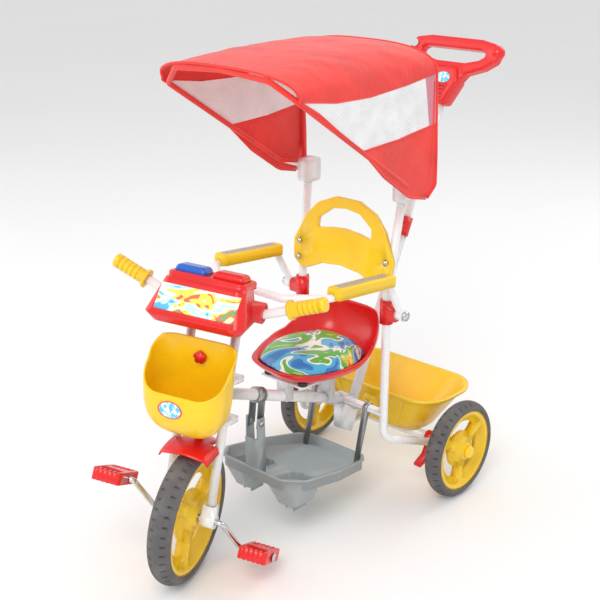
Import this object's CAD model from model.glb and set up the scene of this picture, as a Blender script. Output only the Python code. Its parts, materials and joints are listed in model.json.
"""Looks for the children's tricycle: cloth, moulded plastic, paint, printed films, studio and camera."""
import json
import math

import bmesh
import bpy
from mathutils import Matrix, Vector, noise
from mathutils.bvhtree import BVHTree

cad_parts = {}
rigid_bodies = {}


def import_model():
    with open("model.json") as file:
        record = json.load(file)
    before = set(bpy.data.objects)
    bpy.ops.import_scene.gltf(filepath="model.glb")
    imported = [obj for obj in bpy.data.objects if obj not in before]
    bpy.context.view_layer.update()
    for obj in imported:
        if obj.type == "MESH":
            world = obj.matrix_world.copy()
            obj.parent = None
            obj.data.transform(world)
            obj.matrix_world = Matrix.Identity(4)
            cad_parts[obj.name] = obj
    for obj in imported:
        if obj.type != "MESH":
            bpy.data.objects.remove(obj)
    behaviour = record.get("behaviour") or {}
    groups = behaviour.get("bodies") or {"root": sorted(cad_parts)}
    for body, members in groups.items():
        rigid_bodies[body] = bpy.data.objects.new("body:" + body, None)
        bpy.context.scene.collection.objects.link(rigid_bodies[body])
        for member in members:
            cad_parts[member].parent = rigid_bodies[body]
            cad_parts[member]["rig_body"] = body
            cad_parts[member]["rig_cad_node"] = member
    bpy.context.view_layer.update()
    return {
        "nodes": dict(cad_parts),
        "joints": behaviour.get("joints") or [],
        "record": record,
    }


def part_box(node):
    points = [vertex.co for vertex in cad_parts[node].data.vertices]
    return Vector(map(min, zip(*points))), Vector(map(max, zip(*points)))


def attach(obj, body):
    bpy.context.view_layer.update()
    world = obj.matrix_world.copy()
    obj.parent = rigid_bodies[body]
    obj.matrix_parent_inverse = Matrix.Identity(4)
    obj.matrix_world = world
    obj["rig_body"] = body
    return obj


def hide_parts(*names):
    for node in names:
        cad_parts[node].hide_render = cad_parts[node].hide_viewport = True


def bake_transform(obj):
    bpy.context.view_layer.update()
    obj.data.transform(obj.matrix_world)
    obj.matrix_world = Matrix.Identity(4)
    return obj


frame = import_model()
nodes = frame["nodes"]
joints = {j["name"]: j for j in frame["joints"]}
SEED = 7


# ---------------------------------------------------------------- materials
class Tree:
    """Small helper: makes shader nodes and links them by socket name."""

    def __init__(self, name):
        self.material = bpy.data.materials.new(name)
        self.material.use_nodes = True
        self.nodes = self.material.node_tree.nodes
        self.links = self.material.node_tree.links
        self.shader = self.nodes["Principled BSDF"]
        self.place = self.node("ShaderNodeTexCoord").outputs["Object"]

    def node(self, kind, values=None, **settings):
        n = self.nodes.new(kind)
        for key, value in settings.items():
            setattr(n, key, value)
        for key, value in (values or {}).items():
            if isinstance(value, bpy.types.NodeSocket):
                self.links.new(value, n.inputs[key])
            else:
                n.inputs[key].default_value = value
        return n

    def noise(self, scale, detail=3.0, distortion=0.0, vector=None):
        values = {"Vector": vector or self.place, "Scale": scale, "Detail": detail, "Distortion": distortion}
        return self.node("ShaderNodeTexNoise", values).outputs["Fac"]

    def ramp(self, fac, stops, mode="LINEAR"):
        n = self.node("ShaderNodeValToRGB", {"Fac": fac})
        n.color_ramp.interpolation = mode
        elements = n.color_ramp.elements
        while len(elements) < len(stops):
            elements.new(0.5)
        for e, (at, color) in zip(elements, stops):
            e.position = at
            e.color = (*color, 1.0)
        return n.outputs["Color"]

    def math(self, operation, a, b=0.0):
        return self.node("ShaderNodeMath", {0: a, 1: b}, operation=operation).outputs[0]

    def mix(self, fac, a, b):
        n = self.node("ShaderNodeMix", {0: fac}, data_type="RGBA")
        for socket, value in ((n.inputs[6], a), (n.inputs[7], b)):
            if isinstance(value, bpy.types.NodeSocket):
                self.links.new(value, socket)
            else:
                socket.default_value = (*value, 1.0)
        return n.outputs[2]

    def color(self, socket):
        self.links.new(socket, self.shader.inputs["Base Color"])

    def bump(self, height, strength, distance, soft_edge=0.0):
        values = {"Height": height, "Strength": strength, "Distance": distance}
        if soft_edge:
            edge = self.node("ShaderNodeBevel", {"Radius": soft_edge}, samples=4)
            values["Normal"] = edge.outputs["Normal"]
        n = self.node("ShaderNodeBump", values)
        self.links.new(n.outputs["Normal"], self.shader.inputs["Normal"])

    def rough(self, fac, low, high):
        values = {"Value": fac, "To Min": low, "To Max": high}
        n = self.node("ShaderNodeMapRange", values)
        self.links.new(n.outputs["Result"], self.shader.inputs["Roughness"])


def shade(color, k):
    return tuple(max(0.0, min(1.0, c * k)) for c in color)


def plastic(name, color, rough=0.28, grain=900.0, strength=0.12, coat=0.25):
    """Moulded plastic: flow marks, fine grain, slightly worn gloss, softened edges."""
    t = Tree(name)
    flow = t.noise(9.0, 4.0, 1.2)
    t.color(t.ramp(flow, [(0.25, shade(color, 0.90)), (0.55, color), (0.85, shade(color, 1.06))]))
    t.rough(t.noise(40.0, 5.0), rough - 0.07, rough + 0.12)
    t.bump(t.noise(grain, 2.0), strength, 0.0003, 0.0011)
    t.shader.inputs["Coat Weight"].default_value = coat
    t.shader.inputs["Coat Roughness"].default_value = 0.12
    return t.material


def paint(name, color):
    """Powder coat on steel tube: orange peel and faint scuffs."""
    t = Tree(name)
    scuff = t.noise(70.0, 8.0, 0.6)
    t.color(t.ramp(scuff, [(0.30, shade(color, 0.95)), (0.48, color), (0.9, shade(color, 1.03))]))
    t.rough(t.noise(25.0, 4.0), 0.20, 0.36)
    t.bump(t.noise(420.0, 2.0), 0.10, 0.0004, 0.0006)
    t.shader.inputs["Coat Weight"].default_value = 0.35
    return t.material


def metal(name, color, rough):
    t = Tree(name)
    t.color(t.ramp(t.noise(60.0, 6.0, 0.8), [(0.3, shade(color, 0.82)), (0.7, color)]))
    t.rough(t.noise(110.0, 6.0), rough, rough + 0.16)
    t.bump(t.noise(700.0, 3.0), 0.08, 0.0002, 0.0006)
    t.shader.inputs["Metallic"].default_value = 1.0
    return t.material


def rubber(name, color, dust):
    t = Tree(name)
    dusty = t.ramp(t.noise(35.0, 7.0), [(0.42, (0, 0, 0)), (0.75, (0.55, 0.55, 0.55))])
    t.color(t.mix(dusty, color, dust))
    t.rough(t.noise(80.0, 4.0), 0.62, 0.85)
    t.bump(t.noise(650.0, 4.0), 0.35, 0.0004, 0.0008)
    return t.material


def weave(t, pitch):
    """Over-and-under thread pattern on object coordinates."""
    part = t.node("ShaderNodeSeparateXYZ", {"Vector": t.place}).outputs
    k = 2 * math.pi / pitch
    across = t.math("SINE", t.math("MULTIPLY", t.math("ADD", part["X"], part["Z"]), k))
    along = t.math("SINE", t.math("MULTIPLY", t.math("SUBTRACT", part["Y"], t.math("MULTIPLY", part["X"], 0.3)), k))
    return t.math("MULTIPLY", across, along)


def cloth(name, color):
    t = Tree(name)
    threads = weave(t, 0.0016)
    tone = t.ramp(t.noise(14.0, 6.0, 0.5), [(0.25, shade(color, 0.80)), (0.6, color), (0.9, shade(color, 1.10))])
    t.color(t.mix(t.math("MULTIPLY", t.math("ADD", threads, 1.0), 0.10), tone, shade(color, 0.55)))
    t.rough(t.noise(60.0, 3.0), 0.60, 0.80)
    crease = t.math("ADD", t.math("MULTIPLY", threads, 0.15), t.math("MULTIPLY", t.noise(26.0, 5.0, 1.5), 3.0))
    t.bump(crease, 0.45, 0.0011)
    t.shader.inputs["Sheen Weight"].default_value = 0.25
    return t.material


def netting(name, pitch=0.0042, thread=(0.93, 0.93, 0.94)):
    """Open net: round holes that let light through."""
    t = Tree(name)
    part = t.node("ShaderNodeSeparateXYZ", {"Vector": t.place}).outputs
    k = 2 * math.pi / pitch
    a = t.math("SINE", t.math("MULTIPLY", part["Y"], k))
    b = t.math("SINE", t.math("MULTIPLY", part["Z"], k))
    hole = t.math("GREATER_THAN", t.math("MULTIPLY", a, b), 0.42)
    t.color(t.ramp(t.noise(30.0, 5.0), [(0.3, shade(thread, 0.86)), (0.7, thread)]))
    alpha = t.math("SUBTRACT", 1.0, t.math("MULTIPLY", hole, 0.75))
    t.links.new(alpha, t.shader.inputs["Alpha"])
    t.rough(t.noise(60.0), 0.6, 0.8)
    t.bump(t.math("MULTIPLY", a, b), 0.3, 0.0004)
    return t.material


def swirls(name, stops, scale, rough, stretch=(1.0, 1.0, 1.0)):
    """Printed film with an abstract pattern of soft colour swirls."""
    t = Tree(name)
    place = t.node("ShaderNodeMapping", {"Vector": t.place, "Scale": stretch}).outputs["Vector"]
    drift = t.noise(scale, 2.0, 2.2, place)
    t.color(t.ramp(drift, stops, "CONSTANT"))
    t.rough(t.noise(90.0), rough, rough + 0.12)
    t.bump(t.noise(500.0, 3.0), 0.10, 0.0004, 0.0006)
    t.shader.inputs["Coat Weight"].default_value = 0.5
    return t.material


YELLOW, RED = (0.93, 0.60, 0.006), (0.78, 0.008, 0.010)
GREY, WHITE = (0.33, 0.38, 0.385), (0.83, 0.84, 0.85)
PAD_PRINT = [(0.0, (0.02, 0.20, 0.55)), (0.40, (0.06, 0.45, 0.75)), (0.46, (0.90, 0.88, 0.80)),
             (0.49, (0.10, 0.45, 0.06)), (0.56, (0.35, 0.65, 0.08)), (0.60, (0.90, 0.60, 0.03)),
             (0.66, (0.80, 0.14, 0.03))]
LABEL_PRINT = [(0.0, (0.10, 0.50, 0.75)), (0.42, (0.55, 0.85, 0.92)), (0.50, (0.95, 0.95, 0.95)),
               (0.55, (0.95, 0.80, 0.10)), (0.60, (0.85, 0.15, 0.10)), (0.66, (0.15, 0.45, 0.15))]
M = {
    "yellow_plastic": plastic("yellow_plastic", YELLOW),
    "red_plastic": plastic("red_plastic", RED),
    "blue_plastic": plastic("blue_plastic", (0.015, 0.13, 0.62), 0.12),
    "grey_plastic": plastic("grey_plastic", GREY, 0.34),
    "white_plastic": plastic("white_plastic", WHITE, 0.3),
    "black_plastic": plastic("black_plastic", (0.035, 0.035, 0.04), 0.45, 600.0, 0.3, 0.0),
    "white_paint": paint("white_paint", WHITE),
    "bright_steel": metal("bright_steel", (0.72, 0.73, 0.75), 0.10),
    "steel_axle": metal("steel_axle", (0.45, 0.46, 0.48), 0.28),
    "tyre_rubber": rubber("tyre_rubber", (0.105, 0.098, 0.10), (0.20, 0.185, 0.18)),
    "rubber": rubber("rubber", (0.04, 0.04, 0.042), (0.10, 0.10, 0.10)),
    "canopy_cloth": cloth("canopy_cloth", (0.88, 0.030, 0.018)),
    "strap_steel": metal("strap_steel", (0.40, 0.41, 0.42), 0.30),
    "pad_vinyl": swirls("pad_vinyl", PAD_PRINT, 8.0, 0.25),
    "label_film": swirls("label_film", LABEL_PRINT, 11.0, 0.18, (1.0, 1.0, 2.0)),
}


def armrest_plastic():
    """Yellow pad whose flat top carries a speckled grey film."""
    t = Tree("armrest_plastic")
    t.color(t.ramp(t.noise(9.0, 4.0, 1.2), [(0.25, shade(YELLOW, 0.90)), (0.7, YELLOW)]))
    low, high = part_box("left_armrest_pad")
    middle = (low.x + high.x) / 2
    part = t.node("ShaderNodeSeparateXYZ", {"Vector": t.place}).outputs
    facing = t.node("ShaderNodeNewGeometry").outputs["Normal"]
    normal = t.node("ShaderNodeSeparateXYZ", {"Vector": facing}).outputs
    off = t.math("ABSOLUTE", t.math("SUBTRACT", t.math("ABSOLUTE", part["X"]), middle))
    half_width, half_length = 0.0085, 0.068
    inside = t.math("LESS_THAN", off, half_width)
    lengthwise = t.math("ABSOLUTE", t.math("SUBTRACT", part["Y"], (low.y + high.y) / 2))
    along = t.math("LESS_THAN", lengthwise, half_length)
    up = t.math("GREATER_THAN", normal["Z"], 0.97)
    film = t.math("MULTIPLY", t.math("MULTIPLY", inside, up), along)
    tones = [(0.40, (0.20, 0.21, 0.20)), (0.55, (0.42, 0.44, 0.40)), (0.68, (0.66, 0.68, 0.60))]
    speck = t.ramp(t.noise(520.0, 2.0), tones)
    base = t.shader.inputs["Base Color"].links[0].from_socket
    t.color(t.mix(film, base, speck))
    t.rough(t.noise(40.0, 5.0), 0.24, 0.42)
    t.bump(t.noise(900.0), 0.12, 0.0003, 0.0011)
    return t.material


SHARP_ANGLE = 32          # degrees between faces, above which an edge of a CAD piece stays sharp
slots = {s["node"]: s["material_slot"] for s in frame["record"]["subparts"]}
for name, obj in nodes.items():
    obj.data.materials.clear()
    obj.data.materials.append(M[slots[name]])
for name in ("left_armrest_pad", "right_armrest_pad"):
    nodes[name].data.materials[0] = armrest_plastic()
for obj in nodes.values():
    obj.data.polygons.foreach_set("use_smooth", [True] * len(obj.data.polygons))
    weld = obj.modifiers.new("weld", "WELD")
    weld.merge_threshold = 1e-6
    obj.data.set_sharp_from_angle(angle=math.radians(SHARP_ANGLE))


# ---------------------------------------------------------------- mesh helpers
def shade_smooth(obj):
    obj.data.polygons.foreach_set("use_smooth", [True] * len(obj.data.polygons))


def mesh_object(name, points, faces, material):
    mesh = bpy.data.meshes.new(name)
    mesh.from_pydata([tuple(p) for p in points], [], faces)
    mesh.update()
    obj = bpy.data.objects.new(name, mesh)
    shade_smooth(obj)
    bpy.context.scene.collection.objects.link(obj)
    obj.data.materials.append(material)
    return obj


def tube(name, points, radius, material, sides=8):
    """Round piping along a line of points."""
    ring_count, verts, faces = len(points), [], []
    for i, p in enumerate(points):
        before = points[i - 1] if i else p
        after = points[i + 1] if i < ring_count - 1 else p
        along = (after - before).normalized()
        out = along.orthogonal().normalized()
        if i:
            out = (last - along * last.dot(along)).normalized()
        last = out
        over = along.cross(out)
        for k in range(sides):
            a = 2 * math.pi * k / sides
            verts.append(p + (out * math.cos(a) + over * math.sin(a)) * radius)
    for i in range(ring_count - 1):
        for k in range(sides):
            a, b = i * sides + k, i * sides + (k + 1) % sides
            c, d = b + sides, a + sides
            faces.append((a, b, c, d))
    faces.append(tuple(reversed(range(sides))))
    faces.append(tuple(range((ring_count - 1) * sides, ring_count * sides)))
    return mesh_object(name, verts, faces, material)


def table(pairs, x):
    """Straight-line value between (x, value) pairs."""
    for (x0, v0), (x1, v1) in zip(pairs, pairs[1:]):
        if x <= x1:
            return v0 + (v1 - v0) * max(0.0, x - x0) / (x1 - x0)
    return pairs[-1][1]


# ---------------------------------------------------------------- canopy
pivot = Vector(joints["canopy_tilt"]["pos_m"])
fabric_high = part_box("canopy_fabric")[1]
HALF = fabric_high.x - 0.0012
SHOULDER = 0.210          # height of the shoulders above the pivots
# sewn edges of the net along the side, as (share to the back, height above the pivot)
NET_LOW = [(0.0, 0.102), (0.5, 0.106), (1.0, 0.118)]
NET_HIGH = [(0.0, 0.204), (0.2, 0.192), (0.45, 0.190), (0.75, 0.197), (1.0, 0.207)]
TIP = -0.014              # lowest point of each side panel
CROWN = fabric_high.z - 0.001 - pivot.z
# hem lines of one side, as (height above the pivot, distance behind the pivot)
FRONT_HEM = [(-0.014, 0.006), (-0.003, -0.041), (0.047, -0.115), (0.100, -0.172),
             (0.143, -0.235), (0.179, -0.284), (0.204, -0.328)]
BACK_HEM = [(-0.014, 0.012), (0.005, 0.036), (0.060, 0.035), (0.124, 0.031), (0.211, 0.026)]
COLUMNS, BAND_ROWS, ARCH_ROWS = 96, 24, 84
SIDE_ROWS = 3 * BAND_ROWS
SLEEVE_GAP, SLEEVE_START = 0.0013, 0.012      # sleeve over its hoop; height above the pivots where it begins
HEM_RADIUS, SEAM_RADIUS, CLOTH_THICKNESS = 0.0024, 0.0013, 0.0006
NET_EDGE = 0.90           # share to the back where the net turns to a denser, pinkish strip


def canopy_point(row, column):
    """Point of the sheet and how loose the cloth is there. Rows run from one tip over the top to the other."""
    u = column / COLUMNS
    total = 2 * SIDE_ROWS + ARCH_ROWS
    mirrored = row > total / 2
    r = total - row if mirrored else row
    if r <= SIDE_ROWS:
        stops = [TIP, table(NET_LOW, u), table(NET_HIGH, u), SHOULDER]
        band = min(2, int(r // BAND_ROWS))
        share = r / BAND_ROWS - band
        h = stops[band] * (1 - share) + stops[band + 1] * share
        front, back = table(FRONT_HEM, h), table(BACK_HEM, h)
        x, y = HALF, front * (1 - u) + back * u
        loose = (1.0, 0.35, 0.6)[band]
    else:
        a = math.pi / 2 * (r - SIDE_ROWS) / (ARCH_ROWS / 2)
        x = HALF * math.cos(a) ** 0.72
        rise = math.sin(a) ** 0.86
        top = CROWN - 0.017 * max(0.0, 1 - u / 0.55) ** 2 - 0.010 * max(0.0, (u - 0.7) / 0.3) ** 2
        h = SHOULDER + (top - SHOULDER) * rise
        front = FRONT_HEM[-1][1] - 0.018 * rise
        back = BACK_HEM[-1][1] - 0.004 * rise
        y = front * (1 - u) + back * u
        loose = 0.8
    return Vector((-x if mirrored else x, pivot.y + y, pivot.z + h)), loose


def slack(p, loose, u):
    """Inward sag between the hoops and small creases."""
    span = math.sin(math.pi * u) ** 0.8
    crease = noise.noise(Vector((p.x * 9, p.y * 14, p.z * 26)) + Vector((SEED, 0, 0))) * 0.0035
    fold = noise.noise(Vector((p.x * 28, p.y * 30 + p.z * 34, SEED))) * 0.0018
    return span * loose * (0.0030 + abs(crease) + fold)


def hoop_sleeve(name, hoop, body):
    """The sewn sleeve of a hoop: the hoop's surface made a little larger, from just above the pivot up."""
    work = bmesh.new()
    work.from_mesh(nodes[hoop].data)
    work.transform(nodes[hoop].matrix_world)
    bmesh.ops.remove_doubles(work, verts=work.verts, dist=1e-5)
    work.normal_update()
    for v, normal in [(v, v.normal.copy()) for v in work.verts]:
        v.co += normal * SLEEVE_GAP
    low_end = Vector((0, 0, pivot.z + SLEEVE_START))
    everything = work.verts[:] + work.edges[:] + work.faces[:]
    cut = bmesh.ops.bisect_plane(work, geom=everything, plane_co=low_end, plane_no=(0, 0, 1), clear_inner=True)
    rim = [e for e in cut["geom_cut"] if isinstance(e, bmesh.types.BMEdge)]
    bmesh.ops.holes_fill(work, edges=rim)
    sleeve = mesh_object(name, [], [], M["canopy_cloth"])
    work.to_mesh(sleeve.data)
    work.free()
    shade_smooth(sleeve)
    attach(sleeve, body)
    return sleeve


def canopy():
    total = 2 * SIDE_ROWS + ARCH_ROWS
    points = []
    for row in range(total + 1):
        for column in range(COLUMNS + 1):
            p, loose = canopy_point(row, column)
            inward = (Vector((0, p.y, pivot.z + 0.12)) - p)
            inward.y = 0
            points.append(p + inward.normalized() * slack(p, loose, column / COLUMNS))
    step = COLUMNS + 1
    faces = [(r * step + c, r * step + c + 1, (r + 1) * step + c + 1, (r + 1) * step + c)
             for r in range(total) for c in range(COLUMNS)]
    sheet = mesh_object("canopy_sheet", points, faces, M["canopy_cloth"])
    sheet.data.materials.append(netting("canopy_net"))
    sheet.data.materials.append(netting("canopy_net_edge", 0.0026, (0.80, 0.30, 0.38)))
    for i, face in enumerate(sheet.data.polygons):
        row, column = divmod(i, COLUMNS)
        band = min(row, total - 1 - row) // BAND_ROWS
        face.material_index = 0 if band != 1 else (2 if column > COLUMNS * NET_EDGE else 1)
    front = [Vector(points[r * step]) for r in range(total + 1)]
    back = [Vector(points[r * step + COLUMNS]) for r in range(total + 1)]
    lines = [("canopy_front_hem", front, HEM_RADIUS), ("canopy_back_hem", back, HEM_RADIUS)]
    for row, label in ((BAND_ROWS, "low"), (2 * BAND_ROWS, "high")):
        for r, side in ((row, "left"), (total - row, "right")):
            line = [Vector(points[r * step + c]) for c in range(COLUMNS + 1)]
            lines.append((f"canopy_{side}_{label}_seam", line, SEAM_RADIUS))
    trims = [tube(name, line, radius, M["canopy_cloth"]) for name, line, radius in lines]
    thick = sheet.modifiers.new("thickness", "SOLIDIFY")
    thick.thickness = CLOTH_THICKNESS
    for piece in [sheet] + trims:
        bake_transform(piece)
    sleeves = [hoop_sleeve("canopy_front_sleeve", "canopy_front_hoop", "canopy_front"),
               hoop_sleeve("canopy_back_sleeve", "canopy_back_hoop", "canopy_back")]
    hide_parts("canopy_fabric")


canopy()


# ---------------------------------------------------------------- seat pad
PAD_SHRINK, PAD_VOXEL, PAD_PRESSURE, PAD_FRAMES = 0.985, 0.0045, 4.0, 14
PAD_RISE, PAD_SINK = 0.004, 0.0002        # farthest that the top and the underside may move


def seat_cushion():
    """The pad's outline, remeshed, puffed by a short cloth simulation, then smoothed and refined."""
    source = nodes["seat_pad"]
    pad = source.copy()
    pad.data = source.data.copy()
    pad.name = pad.data.name = "seat_cushion"
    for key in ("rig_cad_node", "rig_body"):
        if key in pad:
            del pad[key]
    pad.parent = None
    pad.modifiers.clear()
    bpy.context.scene.collection.objects.link(pad)
    low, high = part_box("seat_pad")
    centre = (low + high) / 2
    for v in pad.data.vertices:
        v.co.x = centre.x + (v.co.x - centre.x) * PAD_SHRINK
        v.co.y = centre.y + (v.co.y - centre.y) * PAD_SHRINK
    bpy.ops.object.select_all(action="DESELECT")
    pad.select_set(True)
    bpy.context.view_layer.objects.active = pad
    pad.data.remesh_voxel_size = PAD_VOXEL
    bpy.ops.object.voxel_remesh()
    rest = [v.co.copy() for v in pad.data.vertices]
    puff = pad.modifiers.new("puff", "CLOTH")
    puff.settings.use_pressure = True
    puff.settings.uniform_pressure_force = PAD_PRESSURE
    puff.settings.effector_weights.gravity = 0.0
    scene = bpy.context.scene
    for step in range(1, PAD_FRAMES + 1):
        scene.frame_set(step)
    bpy.ops.object.modifier_apply(modifier="puff")
    scene.frame_set(1)
    for v, start in zip(pad.data.vertices, rest):
        move = v.co - start
        cap = PAD_RISE if start.z > centre.z else PAD_SINK
        if move.length > cap:
            v.co = start + move.normalized() * cap
    smooth = pad.modifiers.new("smooth", "SMOOTH")
    smooth.factor, smooth.iterations = 0.5, 4
    fine = pad.modifiers.new("fine", "SUBSURF")
    fine.levels = fine.render_levels = 1
    for modifier in ("smooth", "fine"):
        bpy.ops.object.modifier_apply(modifier=modifier)
    shade_smooth(pad)
    pad.data.materials.clear()
    pad.data.materials.append(M["pad_vinyl"])
    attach(pad, "frame")
    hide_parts("seat_pad")


seat_cushion()


# ---------------------------------------------------------------- stickers
STICKER_LIFT, STICKER_REACH = 0.00035, 0.2      # above the surface; how far out each point starts its drop


def sticker(name, node, centre, outward, upward, width, height, material, body, ring=None):
    """Oval film laid on a moulding: points are dropped onto the surface and lifted a little."""
    surface = BVHTree.FromObject(nodes[node], bpy.context.evaluated_depsgraph_get())
    outward = outward.normalized()
    upward = (upward - outward * upward.dot(outward)).normalized()
    across = upward.cross(outward)
    rings, sides, verts, faces = 8, 40, [], []
    for i in range(rings + 1):
        for k in range(sides if i else 1):
            a = 2 * math.pi * k / sides
            p = centre + across * (math.cos(a) * width / 2 * i / rings)
            p = p + upward * (math.sin(a) * height / 2 * i / rings)
            hit = surface.ray_cast(p + outward * STICKER_REACH, -outward)[0]
            if hit is None:       # the film would hang over an edge, so it is left out
                return
            verts.append(hit + outward * STICKER_LIFT)
    for k in range(sides):
        faces.append((0, 1 + k, 1 + (k + 1) % sides))
    for i in range(1, rings):
        for k in range(sides):
            a, b = 1 + (i - 1) * sides, 1 + i * sides
            faces.append((a + k, b + k, b + (k + 1) % sides, a + (k + 1) % sides))
    film = mesh_object(name, verts, faces, material)
    if ring:
        film.data.materials.append(ring)
        for i, face in enumerate(film.data.polygons):
            face.material_index = 1 if i >= sides * (rings - 1) else 0
    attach(film, body)


up = Vector(joints["steering_turn"]["axis"])
side = Vector(joints["front_wheel_spin"]["axis"])
ahead = side.cross(up)
if ahead.y > 0:
    ahead = -ahead
level = Vector((ahead.x, ahead.y, 0)).normalized()
low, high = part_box("front_basket")
middle = (low + high) / 2
SKY = [(0.0, (0.10, 0.55, 0.80)), (0.48, (0.45, 0.80, 0.90)), (0.58, (0.92, 0.95, 0.95))]
sky = swirls("sticker_film", SKY, 60.0, 0.2)
sticker("basket_sticker", "front_basket", middle - Vector((0.014, 0, 0.017)), level, Vector((0, 0, 1)),
        0.044, 0.034, sky, "steering", plastic("sticker_edge", (0.75, 0.05, 0.08)))
slide = Vector(joints["push_handle_height"]["axis"])
face_out = Vector((0, -slide.z, slide.y))
low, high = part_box("handle_grip")
foot = Vector((0, low.y + 0.010, low.z))
sticker("grip_sticker", "handle_grip", foot + slide * 0.058, face_out, slide, 0.032, 0.022, sky, "push_handle")


# ---------------------------------------------------------------- studio
def studio():
    size = 30.0
    corners = [(-size, -size), (size, -size), (size, size), (-size, size)]
    floor = mesh_object("floor", [(x, y, -0.0005) for x, y in corners], [(0, 1, 2, 3)], None)
    t = Tree("studio_floor")
    t.color(t.ramp(t.noise(0.6), [(0.0, (0.88, 0.88, 0.88)), (1.0, (0.92, 0.92, 0.92))]))
    t.rough(t.noise(3.0), 0.85, 0.95)
    floor.data.materials.clear()
    floor.data.materials.append(t.material)
    world = bpy.data.worlds.new("studio")
    bpy.context.scene.world = world
    world.use_nodes = True
    world.node_tree.nodes["Background"].inputs["Color"].default_value = (1, 1, 1, 1)
    world.node_tree.nodes["Background"].inputs["Strength"].default_value = 0.80
    lamps = (("key", (1.2, -2.2, 2.6), 45, 1.6), ("fill", (-2.4, -1.4, 1.6), 18, 2.2),
             ("back", (0.6, 2.4, 2.4), 22, 1.8))
    for name, place, power, extent in lamps:
        data = bpy.data.lights.new(name, "AREA")
        data.energy, data.size = power, extent
        lamp = bpy.data.objects.new(name, data)
        lamp.location = place
        lamp.rotation_euler = (Vector((0, 0, 0.4)) - Vector(place)).to_track_quat("-Z", "Y").to_euler()
        bpy.context.scene.collection.objects.link(lamp)
    bpy.context.scene.view_settings.view_transform = "Standard"


def camera():
    """Camera fitted to the reference view."""
    data = bpy.data.cameras.new("camera")
    data.lens, data.sensor_width = 68.03, 36.0
    cam = bpy.data.objects.new("camera", data)
    cam.location = (1.3056, -1.4810, 1.1635)
    cam.rotation_euler = (math.radians(90 - 20.41), 0, math.radians(42.01))
    bpy.context.scene.collection.objects.link(cam)
    bpy.context.scene.camera = cam


studio()
camera()
